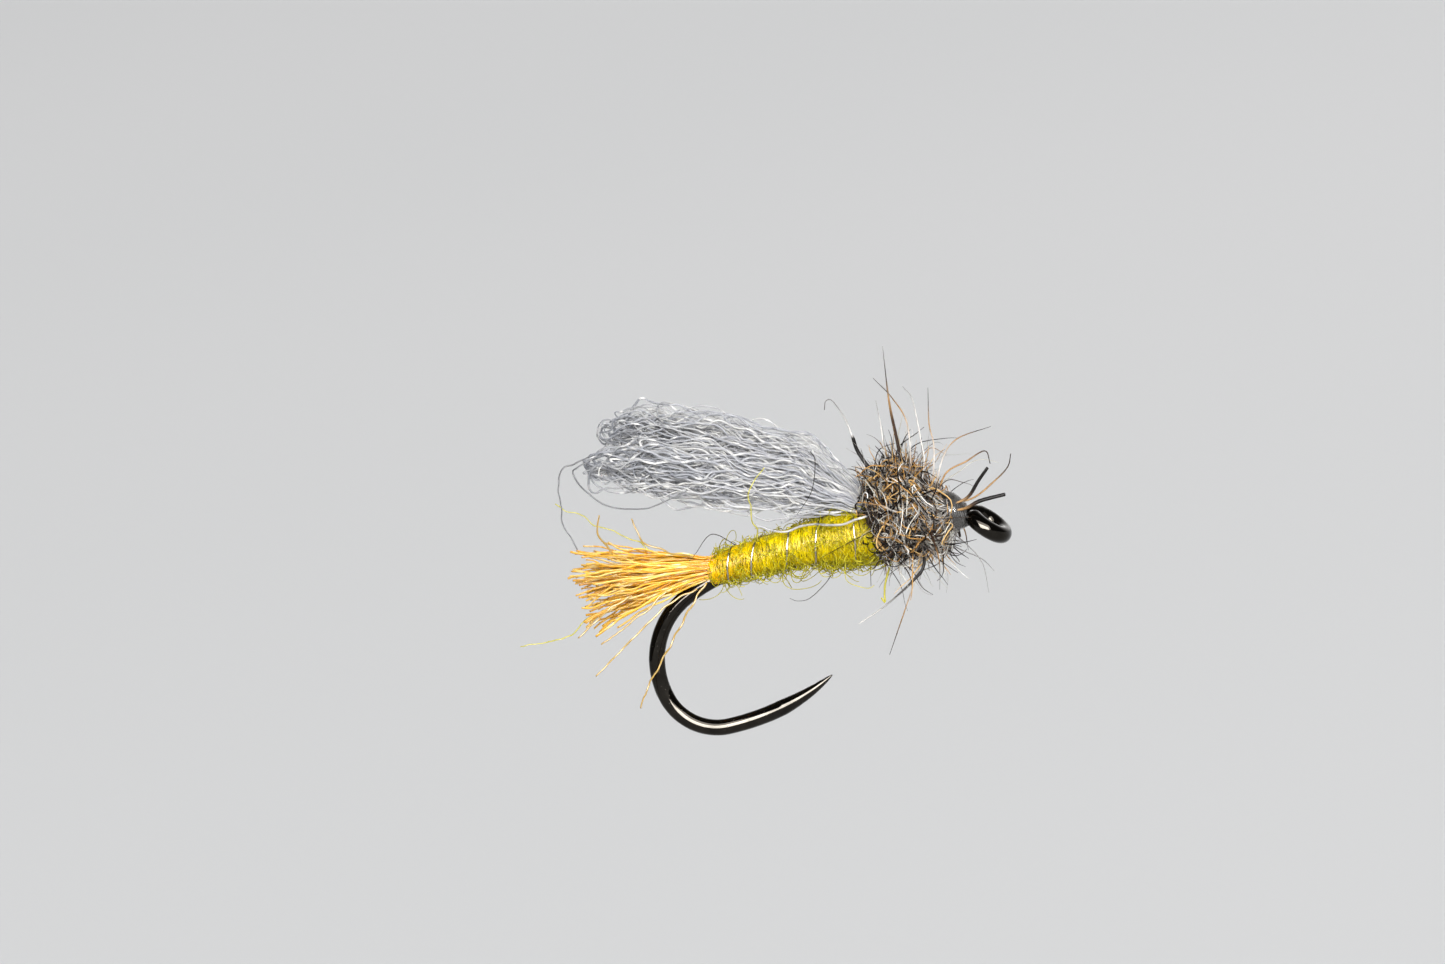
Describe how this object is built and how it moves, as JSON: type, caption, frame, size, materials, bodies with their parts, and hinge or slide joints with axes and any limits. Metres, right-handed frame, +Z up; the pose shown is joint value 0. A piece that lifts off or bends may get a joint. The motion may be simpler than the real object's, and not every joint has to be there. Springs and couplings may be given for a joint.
{
  "type": "dry fly",
  "caption": "Looped-wing emerger dry fly on a barbless down-eye hook, with a ribbed dubbed body, a trailing shuck and a hare-fur thorax.",
  "frame": {"origin": "centre of the hook's wire at the lowest point of the bend, where a vise or clip grips it", "axes": "+X along the shank towards the eye, +Y across the fly, +Z up from the bend towards the shank"},
  "size_m": [0.0153, 0.0055, 0.0101],
  "materials": {
    "black_nickel": "dark mirror plating on steel wire",
    "silver_wire": "fine drawn bright wire",
    "thread": "waxed grey tying thread",
    "dark_thread": "dark tying thread",
    "cement": "hard clear gloss coat over grey thread",
    "dubbing": "fine twisted yellow-olive fur dubbing",
    "hare_fur": "mixed brown, grey and tan loosely spun fur",
    "guard_hair": "stiff tapered guard hair, dark with tan stretches",
    "shuck_yarn": "crinkled translucent amber yarn",
    "wing_filament": "crinkled translucent grey synthetic filament"
  },
  "bodies": {
    "root": {"hook": "black_nickel", "underbody_thread": "thread", "tail_binding": "thread", "wing_binding": "thread", "trailing_shuck": "shuck_yarn", "abdomen_dubbing": "dubbing", "rib_wire": "silver_wire", "wing_loop_far": "wing_filament", "wing_loop_near": "wing_filament", "thorax_dubbing": "hare_fur", "thorax_thread": "dark_thread", "thread_head": "thread", "head_cement": "cement", "guard_hair_01": "guard_hair", "guard_hair_02": "guard_hair", "guard_hair_03": "guard_hair", "guard_hair_04": "guard_hair", "guard_hair_05": "guard_hair", "guard_hair_06": "guard_hair", "guard_hair_07": "guard_hair", "guard_hair_08": "guard_hair", "guard_hair_09": "guard_hair", "guard_hair_10": "guard_hair", "guard_hair_11": "guard_hair", "guard_hair_12": "guard_hair", "guard_hair_13": "guard_hair", "guard_hair_14": "guard_hair", "guard_hair_15": "guard_hair", "guard_hair_16": "guard_hair", "guard_hair_17": "guard_hair", "guard_hair_18": "guard_hair", "guard_hair_19": "guard_hair", "guard_hair_20": "guard_hair", "shuck_fibre_upright": "shuck_yarn", "shuck_fibre_hooked": "shuck_yarn", "shuck_fibre_short": "shuck_yarn", "shuck_fibre_low": "shuck_yarn", "shuck_fibre_lowest": "shuck_yarn", "shuck_fibre_rear": "shuck_yarn", "dubbing_fibre_high": "dubbing", "dubbing_fibre_rear": "dubbing", "dubbing_loop": "dubbing", "wing_stray_long": "wing_filament", "wing_stray_loop": "wing_filament", "wing_strand_low": "wing_filament"}
  },
  "joints": []
}
